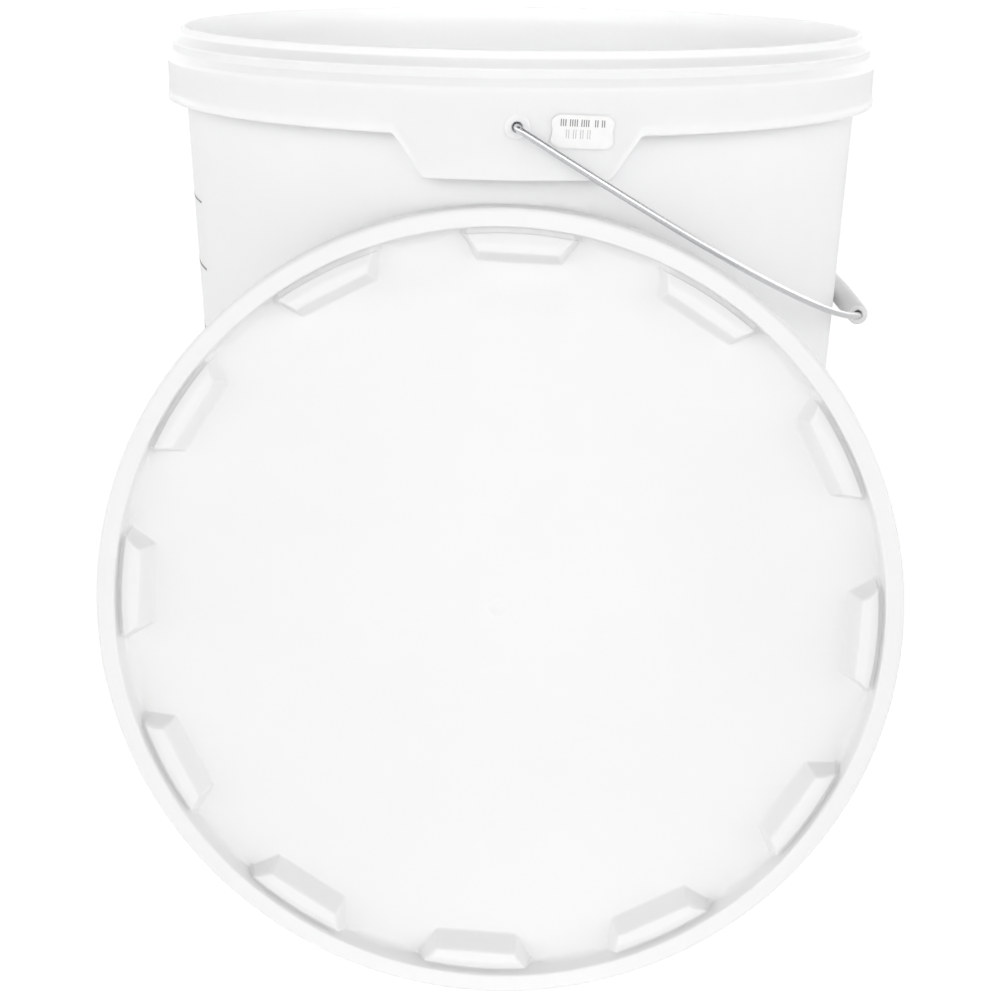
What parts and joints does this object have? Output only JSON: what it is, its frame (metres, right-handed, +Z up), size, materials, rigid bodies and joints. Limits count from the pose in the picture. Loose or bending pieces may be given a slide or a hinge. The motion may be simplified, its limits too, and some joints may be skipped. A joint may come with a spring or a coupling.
{
  "type": "fermenting bucket",
  "caption": "Tall round plastic fermenting bucket with a skirted rim, a wire bail with a tube grip, and its stacking lid stood against the front.",
  "frame": {"origin": "centre of the pail's flat underside", "axes": "+Z up through the pail's mouth; the bail's pivots lie on the Y axis's vertical plane, with the labelled front pivot at -Y; the bail hangs to +X"},
  "size_m": [0.3468, 0.3934, 0.397],
  "materials": {
    "natural_polypropylene": "natural, slightly see-through moulded polypropylene, satin",
    "white_polypropylene": "white moulded polypropylene, satin",
    "galvanised_steel": "bright galvanised drawn wire",
    "white_polythene": "white moulded polythene tube",
    "label_paper": "white self-adhesive paper with grey print"
  },
  "bodies": {
    "pail": {"pail": "natural_polypropylene", "batch_label": "label_paper"},
    "bail": {"bail_wire": "galvanised_steel"},
    "grip": {"bail_grip": "white_polythene"},
    "lid": {"lid": "white_polypropylene"}
  },
  "joints": [
    {"name": "bail_swing", "type": "hinge", "parent": "pail", "child": "bail", "pos_m": [0, 0, 0.3677], "axis": [0, -1, 0], "range_deg": [0, 242]},
    {"name": "grip_spin", "type": "hinge", "parent": "bail", "child": "grip", "pos_m": [0.1652, 0, 0.26447], "axis": [0, 1, 0], "continuous": true},
    {"name": "lid_lift", "type": "slide", "parent": "pail", "child": "lid", "axis": [0, -0.7071, 0.7071], "range_m": [0, 0.4]}
  ]
}
